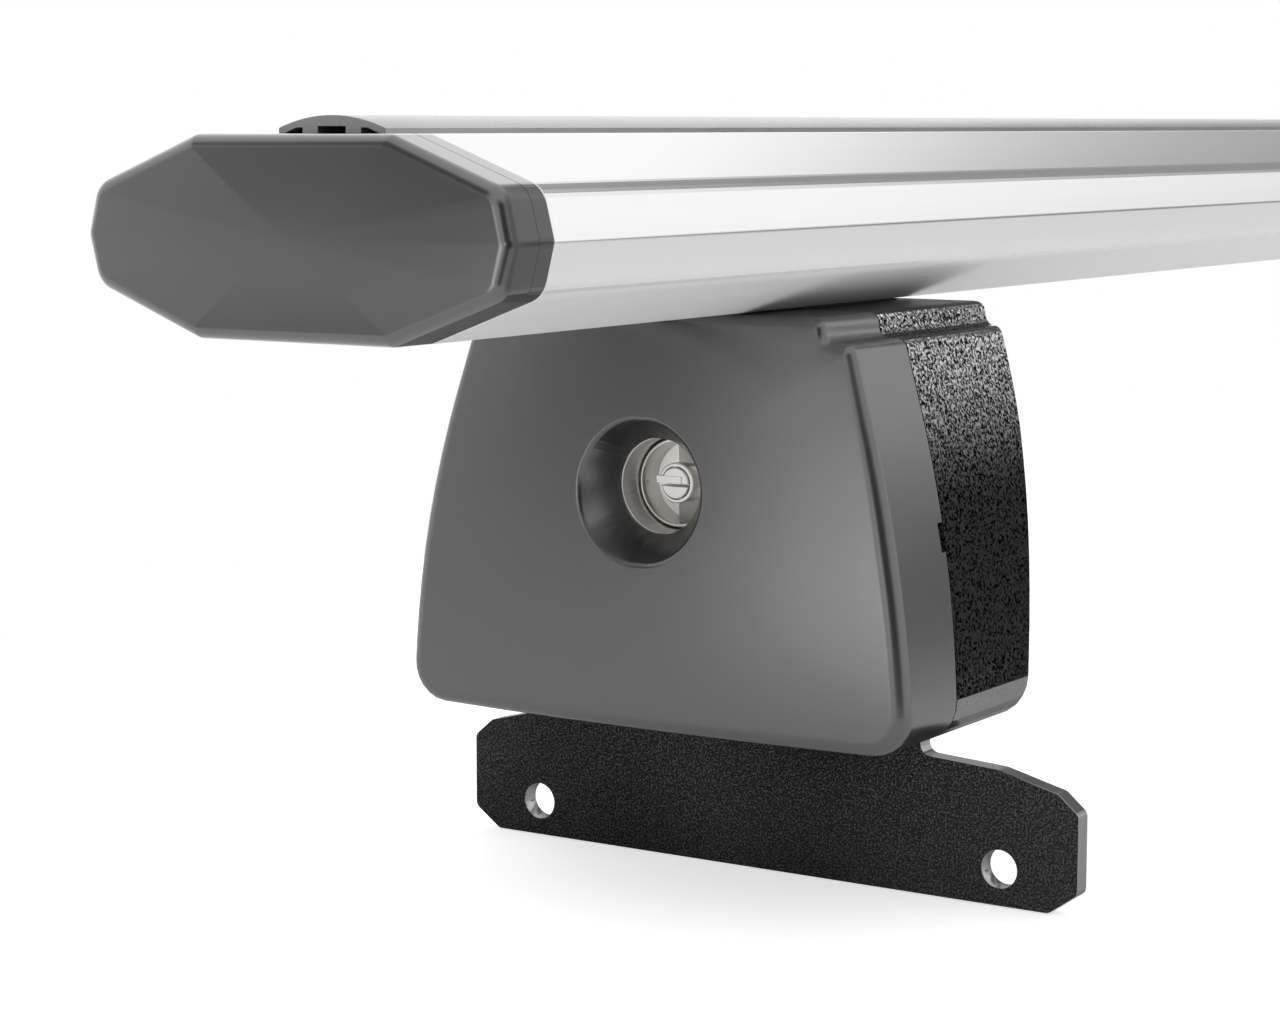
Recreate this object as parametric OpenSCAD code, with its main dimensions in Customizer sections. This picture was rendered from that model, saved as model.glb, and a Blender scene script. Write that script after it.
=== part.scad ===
// Roof rack crossbar: an aluminium bar on two clamped feet with locking covers.
// X runs along the bar, Y across it, Z up. The origin lies under the middle of
// the bar, level with the lower edges of the two base brackets.

/* [Bar] */
// Overall length, from end cap to end cap
overall_l = 1260; // [900:10:1500]
// Width of the bar across its noses
bar_w = 80; // [74:0.5:90]
// Height of the bar
bar_h = 30.4; // [29:0.1:36]
// Width of the flat faces on top and underneath
bar_flat_w = 36.4; // [34:0.2:44]
// Height of the steep band that forms each nose
nose_h = 15.4; // [12:0.2:18]
// How far the top and bottom of that band sit inside the full width
nose_set = 1.95; // [1:0.05:3]
// Rounding where the slopes meet the nose
nose_r = 4; // [3:0.1:5]
// Rounding of the other long edges
bar_edge_r = 1; // [0.6:0.1:2]
// Wall of the extrusion
bar_wall = 2.2; // [1.8:0.1:2.6]
// Inner webs of the extrusion
web_t = 2; // [1.4:0.1:2.4]
// Width of the top slot at its mouth
slot_mouth_w = 11.4; // [10:0.1:13]
// Width of the top slot inside
slot_w = 22; // [18:0.5:24]
// Depth of the top slot below its mouth
slot_h = 6.2; // [5:0.1:7]
// Width of the bottom channel at its mouth
channel_mouth_w = 10.4; // [9.5:0.1:12]
// Width of the bottom channel inside
channel_w = 22; // [20:0.5:24]
// Height of the bottom channel above its mouth
channel_h = 7.2; // [6.6:0.1:7.6]

/* [Rubber strip] */
// Width of the strip over its lips
strip_w = 20.1; // [16:0.1:24]
// Height of its crown above the bar
strip_rise = 2.7; // [2:0.1:4]
// Height of its lip edges
strip_lip_h = 0.8; // [0.5:0.1:1.2]
// Width of the hollow between its two stems
strip_hollow_w = 5.3; // [4:0.1:6]
// Height of that hollow
strip_hollow_h = 1.1; // [0.8:0.1:1.3]
// Height of the hollows outside the stems
strip_side_h = 0.9; // [0.4:0.1:1]
// Width over which those hollows slope down to the lips
strip_slope_w = 2.4; // [1:0.1:2.8]
// Width of each lip where it rests on the bar
strip_foot_w = 0.95; // [0.6:0.05:1.5]
// How far the barbs reach under the slot's lips
barb_reach = 1.1; // [0.6:0.1:2]
// Height of the barbs
barb_h = 1.4; // [1:0.1:2]
// Clearance of the stems in the slot's mouth
strip_fit = 0.2; // [0.1:0.05:0.4]

/* [End caps] */
// Depth of the cap in front of its seam
cap_t = 7.8; // [6:0.1:11]
// Depth of the collar behind the seam
collar_t = 3.6; // [3:0.1:5]
// How far the cap's face curves back towards its noses
cap_crown = 0.9; // [0.4:0.1:1.2]
// How far it curves back towards its top and bottom
cap_bow = 0.6; // [0.2:0.1:0.8]
// Rounding of the cap's front edge
cap_fillet = 2.1; // [1.4:0.1:2.6]
// Rounding of the cap's corners, seen from the end
cap_corner_r = 3; // [2.7:0.1:5]
// Wall of the cap
cap_wall = 2.2; // [1.6:0.1:2.6]
// Length of the collar's plugs inside the bar
plug_l = 14; // [8:1:20]
// Wall of the plugs
plug_wall = 1.8; // [1.4:0.1:2.2]
// Radius of the pegs that join cap and collar
cap_peg_r = 2; // [1.5:0.1:2.4]
// Distance of those pegs from the cap's middle
cap_peg_half = 25; // [20:0.5:26]
// Clearance of the plugs in the bar and of the pegs in the collar
cap_fit = 0.25; // [0.1:0.05:0.4]

/* [Foot outline] */
// Distance from the cap's front to the cover's front
foot_setback = 93.9; // [85:0.1:160]
// Height of the foot, from the bar down to its flat base
foot_h = 73.4; // [70:0.2:80]
// Gap between the foot and the underside of the bar
seat_gap = 0.3; // [0.2:0.05:0.5]
// Half width of the raised saddle
saddle_half = 33.7; // [31:0.1:35]
// Height of the step beside the saddle
step_h = 4.3; // [4.1:0.1:5]
// How far the step's foot stands outside its top
step_slope = 0.5; // [0:0.1:1]
// Half width at the shoulders
shoulder_half = 39; // [38.6:0.1:41]
// Half width where the bulging sides turn
waist_half = 49.5; // [48:0.1:51]
// Height of that turn above the base
waist_h = 34.6; // [31:0.2:38]
// Half width at the base
base_half = 52.1; // [51:0.1:54]
// Length of the bulging sides' curve on each side of the turn
bulge_reach = 24; // [20:0.5:26]
// Rounding of the base's corners
base_r = 7; // [5:0.5:9]
// Rounding of the saddle's edges, its step and the shoulders
step_r = 2; // [1.9:0.05:2.1]
// Lean of the front, in degrees, with the top set back
lean = 3; // [0:0.5:4]

/* [Cover] */
// Depth of the cover, from its front at the lock to the parting line
cover_d = 22.4; // [20:0.2:26]
// How far the front's sides curve back from its middle
crown = 2.75; // [2:0.05:4]
// How far the front's top and bottom curve back from the lock's height
bow = 1.2; // [0:0.1:2]
// Rounding of the front edge at the sides and underneath
cover_fillet = 2.8; // [2:0.1:3.2]
// Rounding of the front edge round the saddle
top_fillet = 1.8; // [1.2:0.05:1.85]
// Wall of the cover
cover_wall = 1.8; // [1.4:0.1:1.85]
// Gap at the parting line between cover and leg
parting_gap = 0.3; // [0.2:0.05:0.5]
// Length of the pry notch in each side of the cover's rear edge
notch_l = 5; // [4:0.5:8]
// Depth of the pry notch
notch_d = 1.6; // [1:0.1:2]
// Distance of the notch below the lock's axis
notch_drop = 7.1; // [4:0.1:10]
// Reach of the notch across the cover's side wall
notch_reach = 16; // [12:1:18]
// Radius of the two guide pegs
peg_r = 2.6; // [2:0.1:3.2]
// Clearance of the pegs in the leg's sockets
peg_fit = 0.3; // [0.2:0.05:0.5]
// Half distance between the pegs
peg_half = 34; // [30:0.5:38]
// Height of the pegs above the base
peg_h = 11; // [10:0.5:14]
// Reach of the pegs past the parting line
peg_reach = 9; // [6:0.5:12]
// Thickness of the cover's inner ribs
rib_t = 1.6; // [1.2:0.1:2]
// Depth of those ribs
rib_d = 7; // [4:0.5:9]

/* [Lock] */
// Drop of the lock's axis below the saddle
lock_drop = 30.7; // [29:0.1:34]
// Radius of the funnel's mouth in the cover's front
funnel_r = 12.8; // [12:0.1:15]
// Rounding of the funnel's mouth
funnel_edge = 0.6; // [0.4:0.1:1.2]
// Depth of the funnel
funnel_d = 6.8; // [5:0.1:8]
// Radius of the funnel's end
throat_r = 8.5; // [8.4:0.05:8.8]
// Thickness of the lip that holds the sleeve
throat_lip = 0.9; // [0.6:0.1:1.4]
// Outer radius of the lock's sleeve
sleeve_r = 9.6; // [9.2:0.1:10]
// Wall of the boss round the sleeve
boss_wall = 2.2; // [1.6:0.1:2.6]
// Bore radius of the sleeve
sleeve_bore_r = 8.3; // [8.1:0.05:8.4]
// Clearance of the sleeve in the cover
sleeve_fit = 0.05; // [0.02:0.01:0.1]
// Length of the sleeve
sleeve_l = 20; // [19:0.5:21]
// Distance of the plug's head behind the sleeve's front edge
head_set = 5; // [3:0.5:6]
// Radius of the plug's head
head_r = 7.9; // [7.4:0.05:8]
// Thickness of the plug's head
head_t = 6.5; // [6:0.1:7]
// Wall of the cup in the plug's head
cup_wall = 0.5; // [0.3:0.05:0.7]
// Depth of that cup
cup_d = 4.6; // [4:0.1:5]
// Radius of the post in the cup
post_r = 3.6; // [3.4:0.05:4]
// How far the post stands in front of the head's rim
post_rise = 0.5; // [0.2:0.1:1.5]
// Radius of the keyed disc in the post
disc_r = 2.8; // [2.6:0.05:3]
// How far the disc stands in front of the post
disc_rise = 0.4; // [0.2:0.1:0.8]
// Depth of the groove round the disc
disc_groove = 1.2; // [0.8:0.1:1.5]
// Half width of the two ridges between post and cup wall, at the cup's floor
ridge_half = 2.6; // [2:0.1:3]
// Distance of the ridges' crests behind the head's rim
ridge_set = 0.8; // [0.5:0.1:1.5]
// Radius of the plug behind its head
plug_r = 6; // [5:0.1:6.4]
// Running clearance of the plug in its bearing
plug_fit = 0.06; // [0.03:0.01:0.1]
// Length of the bearing at the sleeve's rear end
bearing_l = 6; // [4:0.5:7]
// Width of the keyway
keyway_w = 0.6; // [0.4:0.1:1]
// Depth of the keyway below the disc's face
keyway_d = 3; // [2:0.5:3.5]
// Height of the bar above the keyway
key_bar_h = 1.2; // [0.8:0.1:1.5]
// How far that bar stands in front of the disc
key_bar_rise = 0.3; // [0.2:0.1:0.6]
// Thickness of the seal behind the head
seal_t = 1.2; // [0.8:0.1:1.6]
// Radius of the screw that holds the cam
cam_screw_r = 2; // [1.5:0.1:2.2]
// Depth of that screw in the plug
cam_screw_l = 7; // [5:0.5:10]
// Height of that screw's head
cam_screw_head = 1.6; // [1.2:0.1:2]
// Width of the cam's ring round the tail
cam_rim = 3.5; // [2.5:0.1:4]
// Thickness of the cam
cam_t = 2.5; // [2:0.1:3]
// Reach of the cam from the lock's axis
cam_reach = 17; // [15:0.5:18]
// Width of the cam
cam_w = 8; // [6:0.5:9]
// Thickness of the nut that clamps the sleeve
sleeve_nut_t = 3; // [2:0.1:3.5]
// Width of that nut outside the sleeve, at its corners
sleeve_nut_rim = 4; // [3.5:0.1:4.5]
// Distance of that nut in front of the catch
nut_clear = 0.7; // [0.5:0.1:1]
// Radius of the plug's tail, which carries the cam
tail_r = 3.5; // [3:0.1:4]
// Play between the sleeve's end and the cam
cam_play = 0.3; // [0.2:0.05:0.5]
// Gap between the cam and the catch in front of it
cam_gap = 0.4; // [0.3:0.1:0.8]

/* [Leg] */
// Side walls of the leg
leg_wall = 3.6; // [3:0.1:4.5]
// Top wall of the leg under the saddle
leg_top_t = 6; // [5:0.5:7]
// Bottom wall of the leg
leg_base_t = 5; // [4:0.5:6]
// Rear wall of the leg
leg_rear_t = 4; // [3:0.5:5]
// Depth of the leg under the saddle, from the cover's front
leg_top_d = 61; // [58:0.5:66]
// How far the saddle stands out at the rear
saddle_lip = 3.5; // [2.5:0.1:5]
// Depth of the leg where its rear turns in
leg_turn_d = 60; // [57:0.2:63]
// Height of that turn above the base
leg_turn_h = 57.6; // [50:0.2:60]
// Depth of the leg where its rear turns down again
leg_low_d = 50.6; // [49:0.2:54]
// Height of that second turn above the base
leg_low_h = 18.6; // [14:0.2:24]
// Length of the rear's curves on each side of both turns
rear_reach = 9; // [5:0.5:10]
// Depth of the leg at its base
leg_base_d = 47.2; // [46:0.2:50]
// Rounding at the leg's rear lower edge
leg_heel_r = 3; // [1:0.5:5]
// Rounding of the saddle's rear edges
leg_crest_r = 1; // [0.5:0.1:1.2]
// Length of the tongue that fits inside the cover
tongue_l = 4; // [3:0.5:6]
// Wall of the tongue
tongue_t = 1.6; // [1.2:0.1:2]
// Clearance of the tongue inside the cover
tongue_fit = 0.4; // [0.3:0.05:0.6]
// Height of the catch bar above the lock's axis
catch_h = 11.6; // [11.2:0.1:12.5]
// Width of the catch bar
catch_w = 4.5; // [4:0.5:6]
// Thickness of the catch bar
catch_t = 3.2; // [2.5:0.1:3.4]
// Thickness of the two upright ribs
leg_rib_t = 3; // [2:0.5:4]
// Distance of those ribs from the middle
rib_half = 27; // [26:0.5:30]
// Distance of the ribs' front edges behind the parting line
rib_in = 20; // [18:0.5:24]

/* [Clamp to the bar] */
// Radius of the clamp bolts
clamp_r = 3; // [2.5:0.5:3.5]
// Distance of the front clamp bolt behind the parting line
clamp_in = 9.6; // [9:0.1:11]
// Distance of the rear clamp bolt in front of the leg's rear wall
clamp_out = 7.6; // [7.4:0.1:9]
// Width of the channel nut
nut_w = 20.8; // [18:0.1:21]
// Thickness of the channel nut
nut_t = 5; // [4:0.1:5.4]
// Length of the channel nut past each bolt's axis
nut_end = 7; // [5:0.5:10]
// Play of the channel nut above the channel's lips
nut_play = 0.3; // [0.2:0.05:0.5]
// Thickness of the rubber saddle pad
pad_t = 2; // [1.5:0.1:3]
// Half width of the saddle pad
pad_half = 17.6; // [14:0.2:18]
// How far the pad stands proud of the leg
pad_proud = 0.1; // [0:0.05:0.15]
// Distance of the pad's pocket from the leg's front and rear edges
pad_margin = 3.5; // [3:0.5:5]
// Clearance of the pad in its pocket
pad_fit = 0.2; // [0.1:0.05:0.4]
// Radial clearance of bolts in the holes that they pass through
bolt_fit = 0.5; // [0.3:0.1:0.6]
// Radial clearance of bolts in their nuts
thread_fit = 0.05; // [0.02:0.01:0.1]
// How far the bolts stand out of their nuts
bolt_tip = 1.2; // [0.5:0.1:1.4]

/* [Base bracket] */
// Half width of the bracket's plate
plate_half = 65.3; // [62:0.1:70]
// Thickness of the bracket
plate_t = 3.8; // [3:0.1:5]
// Height of the plate below the foot's base
plate_drop = 33.2; // [33.2:0.2:40]
// Distance from the cover's front to the plate
plate_d = 41; // [38:0.2:42]
// Half width of the neck between plate and flange
neck_half = 34; // [30:0.5:40]
// Height of the plate's outer shoulders above its lower edge
plate_end_h = 18.3; // [16:0.1:20]
// Height of the plate where it meets the neck, above its lower edge
plate_mid_h = 25.7; // [23:0.1:25.8]
// Radius of the relief beside the neck
relief_r = 2; // [1:0.1:2.1]
// Inner radius of the bend
bend_r = 1.6; // [1:0.1:2]
// Depth of the flange under the leg, forward of the plate
flange_d = 18; // [16:0.5:18.5]
// Rounding of the plate's corners
plate_corner_r = 1.5; // [1:0.1:3]
// Width of the cut across the plate's lower corners
low_cut_w = 5.6; // [4:0.2:7]
// Height of that cut
low_cut_h = 4; // [3:0.2:6]
// Width of the cut across the plate's shoulders
top_cut_w = 4; // [3:0.2:6]
// Height of that cut
top_cut_h = 3.4; // [2:0.2:5]
// Radius of the two mounting holes
hole_r = 3.5; // [3:0.5:4.5]
// Distance between the mounting holes
hole_pitch = 100; // [80:0.5:110]
// Height of the mounting holes above the lower edge
hole_h = 6.7; // [5:0.1:8]
// Radius of the base bolts
base_bolt_r = 4; // [3:0.5:4]
// Distance between the base bolts
base_bolt_pitch = 36; // [30:1:44]
// Distance of the base bolts in front of the plate
base_bolt_in = 10.5; // [9.5:0.1:10.8]
// Height of the base bolts' low heads
base_head_t = 1.4; // [1.2:0.1:2]

/* [Hidden] */

// Colours
silver = [0.80, 0.80, 0.79];
bright = [0.70, 0.69, 0.66];
zinc = [0.60, 0.60, 0.58];
grey_plastic = [0.30, 0.30, 0.30];
black_coat = [0.07, 0.07, 0.07];
rubber = [0.16, 0.16, 0.16];

// Small overlap of joined shapes, and the length by which cuts run past a face
eps = 0.01;
over = 1;
// Facets of round parts
round_fn = 48;

// Heights in the foot's frame, whose zero is the bar's middle
seat_z = -bar_h / 2;
foot_top_z = seat_z - seat_gap;
step_z = foot_top_z - step_h;
base_z = seat_z - foot_h;
waist_z = base_z + waist_h;
lock_z = foot_top_z - lock_drop;
bar_z = bar_h / 2 + foot_h + plate_drop;
cap_depth = cap_t + collar_t;
bar_l = overall_l - 2 * cap_depth;

// Depths in the foot's frame, whose zero is the cover's front at the lock
leg_front = cover_d + parting_gap;
funnel_slope = (funnel_r - throat_r) / funnel_d;
sleeve_front = funnel_d + throat_lip;
sleeve_back = sleeve_front + sleeve_l;
head_front = sleeve_front + head_set;
cam_front = sleeve_back + cam_play;
catch_front = cam_front - cam_gap - catch_t;
boss_back = catch_front - sleeve_nut_t - nut_clear;
clamp_x = [cover_d + clamp_in, leg_top_d - leg_rear_t - clamp_out];
saddle_d = leg_top_d + saddle_lip;

// Standard hexagon heads and washers, from the thread's radius
function head_across(r) = 3.25 * r;
function head_height(r) = 1.3 * r;
function washer_r(r) = 1.75 * r;
function washer_t(r) = 0.4 * r;

// Outlines with rounded corners. Each corner is [across, up, radius, steps].
function turn_at(a, p, b) =
    let (e = p - a, f = b - p) atan2(e[0] * f[1] - e[1] * f[0], e * f);

// Radius of a corner whose rounding reaches a given length along both edges
function reach_r(a, p, b, reach) = reach / tan(abs(turn_at(a, p, b)) / 2);

function corner_points(a, p, b, r, steps, inset) =
    let (
        e = (p - a) / norm(p - a),
        turn = turn_at(a, p, b),
        s = turn < 0 ? -1 : 1,
        n = [e[1], -e[0]],
        start = atan2(n[1], n[0]),
        t = r * tan(abs(turn) / 2),
        c = p - e * t - n * r * s,
        f = (b - p) / norm(b - p),
        m = [f[1], -f[0]]
    )
    abs(turn) < 0.01 ? [p - n * inset]
    : (s > 0 && r <= inset) ? [p - (n + m) / (1 + n * m) * inset]
    : [for (i = [0:steps])
        let (q = start + turn * i / steps) c + [cos(q), sin(q)] * (s * r - inset)];

function rounded(corners, inset = 0) =
    let (k = len(corners), at = function (i) [corners[i % k][0], corners[i % k][1]])
    [for (i = [0:k - 1])
        each corner_points(at(i + k - 1), at(i), at(i + 1), corners[i][2], corners[i][3], inset)];

// Points between two corners, both left out, so that a long edge can curve
function between(a, b, count) =
    [for (i = [1:count]) let (p = a + (b - a) * i / (count + 1)) [p[0], p[1], 0, 1]];

function mirrored(corners) =
    concat(corners, [for (i = [len(corners) - 1:-1:0])
        let (c = corners[i]) [-c[0], c[1], c[2], c[3]]]);

// A skin over a list of rings with equal numbers of points. A looped skin joins
// its last ring to its first; another closes its two ends.
module loft(rings, looped = false) {
    n = len(rings[0]);
    k = len(rings);
    last = looped ? k - 1 : k - 2;
    at = function (j, i) j % k * n + i % n;
    sides = [for (j = [0:last], i = [0:n - 1])
        each [[at(j, i), at(j, i + 1), at(j + 1, i + 1)], [at(j, i), at(j + 1, i + 1), at(j + 1, i)]]];
    ends = looped ? [] : [[for (i = [n - 1:-1:0]) i], [for (i = [0:n - 1]) (k - 1) * n + i]];
    polyhedron([for (r = rings) each r], concat(sides, ends), convexity = 8);
}

// Extrudes an outline drawn in Y and Z along X
module along_x(from, to) {
    translate([from, 0, 0]) rotate([90, 0, 90]) linear_extrude(to - from) children();
}

// Extrudes an outline drawn in X and Z along Y, centred
module along_y(width) {
    rotate([90, 0, 0]) linear_extrude(width, center = true) children();
}

module rod_x(r, from, to) {
    translate([from, 0, 0]) rotate([0, 90, 0]) cylinder(r = r, h = to - from, $fn = round_fn);
}

module rod_z(r, from, to) {
    translate([0, 0, from]) cylinder(r = r, h = to - from, $fn = round_fn);
}

// The bar's outline, counterclockwise from the lower nose
function bar_corners(corner_r, big_r) = mirrored([
    [bar_flat_w / 2, -bar_h / 2, corner_r, 3],
    [bar_w / 2 - nose_set, -nose_h / 2, big_r, 6],
    [bar_w / 2, 0, corner_r, 3],
    [bar_w / 2 - nose_set, nose_h / 2, big_r, 6],
    [bar_flat_w / 2, bar_h / 2, corner_r, 3]
]);

module bar_outline(inset = 0) {
    polygon(rounded(bar_corners(bar_edge_r, nose_r), inset));
}

module slab_2d(w, low, high) {
    translate([-w / 2, low]) square([w, high - low]);
}

module nose_chamber(inset = 0) {
    side = max(slot_w, channel_w) / 2 + web_t;
    intersection() {
        bar_outline(bar_wall + inset);
        translate([side + inset, -bar_h / 2]) square([bar_w, bar_h]);
    }
}

module bar_section() {
    slot_top = bar_h / 2 - bar_wall;
    slot_low = slot_top - slot_h;
    channel_top = channel_h - slot_top;
    difference() {
        bar_outline();
        for (side = [0, 1]) mirror([side, 0]) nose_chamber();
        slab_2d(slot_mouth_w, slot_low, bar_h);
        slab_2d(slot_w, slot_low, slot_top);
        slab_2d(channel_mouth_w, -bar_h, channel_top);
        slab_2d(channel_w, -slot_top, channel_top);
        slab_2d(min(slot_w, channel_w), channel_top + web_t, slot_low - web_t);
    }
}

module bar() {
    color(silver) translate([0, 0, bar_z]) along_x(-bar_l / 2, bar_l / 2) bar_section();
}

// Right half of the strip's crown, from its lip to its middle
function crown_points(steps) =
    let (
        h = strip_rise - strip_lip_h,
        r = (strip_w * strip_w / 4 + h * h) / (2 * h),
        half = asin(strip_w / 2 / r)
    )
    [for (i = [-steps:steps]) let (q = half * -i / steps)
        [r * sin(q), bar_h / 2 + strip_rise - r + r * cos(q)]];

module strip_section() {
    top = bar_h / 2;
    stem_out = slot_mouth_w / 2 - strip_fit;
    barb_top = top - bar_wall - strip_fit;
    lip_in = strip_w / 2 - strip_foot_w;
    polygon(concat(crown_points(12), [for (s = [-1, 1]) each
        let (half = [
            [strip_w / 2, top],
            [lip_in, top],
            [lip_in - strip_slope_w, top + strip_side_h],
            [stem_out, top + strip_side_h],
            [stem_out, barb_top],
            [stem_out + barb_reach, barb_top],
            [stem_out, barb_top - barb_h],
            [strip_hollow_w / 2, barb_top - barb_h],
            [strip_hollow_w / 2, top + strip_hollow_h]
        ])
        [for (i = s < 0 ? [0:8] : [8:-1:0]) [s * half[i][0], half[i][1]]]]));
}

module top_strip() {
    color(rubber) translate([0, 0, bar_z]) along_x(-bar_l / 2, bar_l / 2) strip_section();
}

// Places the left end's pieces, or mirrors them to the right end
module at_end(side) {
    mirror([side == "left" ? 0 : 1, 0, 0]) translate([-overall_l / 2, 0, bar_z]) children();
}

module end_cap(side) {
    inner = cap_wall + cap_crown;
    outline = function (inset) rounded(bar_corners(cap_corner_r, nose_r), inset);
    ring = function (x, inset) [for (p = outline(inset)) [x, p[0], p[1]]];
    dome = function (p) cap_crown * pow(2 * p[0] / bar_w, 2) + cap_bow * pow(2 * p[1] / bar_h, 2);
    domed = function (x, inset, size) [for (q = outline(inset)) let (p = q * size)
        [x + dome(p), p[0], p[1]]];
    color(grey_plastic) at_end(side) union() {
        loft(concat(
            [ring(inner, cap_wall), ring(cap_t, cap_wall), ring(cap_t, 0)],
            [for (q = [0:15:90]) domed(cap_fillet * (1 - sin(q)), cap_fillet * (1 - cos(q)), 1)],
            [for (size = [0.8, 0.6, 0.4, 0.2]) domed(0, cap_fillet, size)],
            [[for (p = outline(cap_fillet)) [0, p[0] / 20, p[1] / 20]]]
        ));
        for (y = [-1, 1]) translate([0, y * cap_peg_half, 0]) rod_x(cap_peg_r, inner - eps, cap_depth);
    }
}

module cap_collar(side) {
    color(grey_plastic) at_end(side) {
        difference() {
            union() {
                along_x(cap_t, cap_depth) polygon(rounded(bar_corners(cap_corner_r, nose_r)));
                for (s = [0, 1]) mirror([0, s, 0])
                    along_x(cap_depth - eps, cap_depth + plug_l) nose_chamber(cap_fit);
            }
            for (s = [0, 1]) mirror([0, s, 0])
                along_x(cap_depth, cap_depth + plug_l + over) nose_chamber(cap_fit + plug_wall);
            for (y = [-1, 1]) translate([0, y * cap_peg_half, 0])
                rod_x(cap_peg_r + cap_fit, cap_t - over, cap_depth + over);
        }
    }
}

// The foot's outline, counterclockwise from the middle of its base
bulge_r = reach_r([base_half, base_z], [waist_half, waist_z], [shoulder_half, step_z], bulge_reach);
foot_corners = mirrored(concat(
    between([0, base_z], [base_half - base_r, base_z], 7),
    [[base_half, base_z, base_r, 6], [waist_half, waist_z, bulge_r, 8],
     [shoulder_half, step_z, step_r, 4],
     [saddle_half + step_slope, step_z, step_r, 4],
     [saddle_half, foot_top_z, step_r, 4]],
    between([saddle_half - step_r, foot_top_z], [0, foot_top_z], 6)
));
foot_edge = rounded(foot_corners);
foot_edge_in = rounded(foot_corners, 1);

function lean_x(z) = tan(lean) * (z - lock_z);

// How far the cover's front lies behind its plane at the lock
function front_x(y, z) =
    let (half = lookup(z, [[base_z, base_half], [waist_z, waist_half], [step_z, shoulder_half]]))
    lean_x(z) + crown * pow(y / half, 2) + bow * pow(2 * (z - lock_z) / foot_h, 2);

module foot_outline(inset = 0) {
    polygon(rounded([for (c = foot_corners) if (c[2] > 0) c], inset));
}

// A block between two planes that lean like the cover's front
module leaning_slab(from, to, width, low, high) {
    along_y(width) polygon([
        [from + lean_x(low), low], [to + lean_x(low), low],
        [to + lean_x(high), high], [from + lean_x(high), high]
    ]);
}

// Places a foot's pieces, drawn in the left foot's frame
module at_foot(side) {
    mirror([side == "left" ? 0 : 1, 0, 0])
        translate([foot_setback - overall_l / 2, 0, bar_z]) children();
}

// Rings of the cover's skin. Outline rings follow the foot, and round ones
// stand round the lock's axis at the same angles.
function edge_point(i, inset) = foot_edge[i] + (foot_edge_in[i] - foot_edge[i]) * inset;

function fillet_at(i) = lookup(foot_edge[i][1], [[waist_z, cover_fillet], [step_z, top_fillet]]);

function parting_ring(inset) =
    [for (i = [0:len(foot_edge) - 1]) let (p = edge_point(i, inset))
        [cover_d + lean_x(p[1]), p[0], p[1]]];

function fillet_ring(q) =
    [for (i = [0:len(foot_edge) - 1]) let (
        r = fillet_at(i),
        p = edge_point(i, r * (1 - cos(q)))
    ) [r * (1 - sin(q)) + front_x(p[0], p[1]), p[0], p[1]]];

function round_ring(x, r) =
    [for (p = foot_edge) let (d = p - [0, lock_z], q = d / norm(d) * r)
        [x, q[0], lock_z + q[1]]];

// Where the funnel's cone of radius r meets the curved front, along a direction
function on_cone(d, r) =
    let (u = d / norm(d), q = u * r) q - u * funnel_slope * front_x(q[0], lock_z + q[1]);

// Rings between the outline and the funnel's mouth, on the front's outer and
// inner face. A share of 1 is the mouth itself.
function face_ring(x, share, inset, r) =
    [for (i = [0:len(foot_edge) - 1]) let (
        d = edge_point(i, inset < 0 ? fillet_at(i) : inset) - [0, lock_z],
        q = d * (1 - share) + on_cone(d, r) * share
    ) [x + front_x(q[0], lock_z + q[1]), q[0], lock_z + q[1]]];

module cover_shell() {
    boss_r = sleeve_r + boss_wall;
    flare_r = funnel_r + cover_wall;
    mouth = funnel_r + funnel_edge;
    mouth_ring = function (x, r) face_ring(x, 1, cover_wall, r);
    loft(concat(
        [parting_ring(0)],
        [for (q = [0:15:90]) fillet_ring(q)],
        [for (i = [1:6]) face_ring(0, i / 7, -1, mouth)],
        [for (q = [0:22.5:45]) mouth_ring(funnel_edge * (1 - cos(q)), mouth - funnel_edge * sin(q))],
        [mouth_ring(funnel_edge, funnel_r - funnel_slope * funnel_edge),
         round_ring(funnel_d, throat_r),
         round_ring(boss_back, throat_r),
         round_ring(boss_back, boss_r),
         round_ring(funnel_d + cover_wall, boss_r),
         mouth_ring(cover_wall + funnel_edge, flare_r)],
        [for (i = [2:-1:0]) face_ring(cover_wall, i / 3, cover_wall, flare_r)],
        [parting_ring(cover_wall)]
    ), looped = true);
}

// An upright rib on the back of the cover's front
module cover_rib(y) {
    steps = 8;
    low = base_z + base_r;
    back = function (z) front_x(y, z) + cover_wall / 2;
    translate([0, y, 0]) along_y(rib_t) polygon(concat(
        [for (i = [0:steps]) let (z = low + (step_z - low) * i / steps) [back(z), z]],
        [[back(step_z) + rib_d, step_z], [back(low) + rib_d, low]]
    ));
}

module cover(side) {
    notch_z = lock_z - notch_drop;
    peg_z = base_z + peg_h;
    rib_y = (funnel_r + peg_half) / 2 + rib_t;
    color(grey_plastic) at_foot(side) difference() {
        union() {
            cover_shell();
            for (y = [-1, 1]) translate([0, y * peg_half, peg_z])
                rod_x(peg_r, front_x(peg_half, peg_z) + cover_wall / 2, cover_d + peg_reach);
            for (y = [-1, 1]) cover_rib(y * rib_y);
        }
        translate([0, 0, lock_z]) rod_x(sleeve_r + sleeve_fit, sleeve_front, boss_back + over);
        for (y = [-1, 1])
            translate([cover_d + lean_x(notch_z) - notch_d, y * waist_half, notch_z])
                translate([0, -notch_reach / 2, -notch_l / 2]) cube([notch_d + over, notch_reach, notch_l]);
    }
}

// Places a lock's pieces, drawn round its axis
module on_lock(side) {
    at_foot(side) translate([0, 0, lock_z]) children();
}

module turned_x(points) {
    rotate([0, 90, 0]) rotate_extrude($fn = round_fn) polygon(points);
}

module tube_x(outer, inner, from, to) {
    difference() {
        rod_x(outer, from, to);
        rod_x(inner, from - over, to + over);
    }
}

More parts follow.
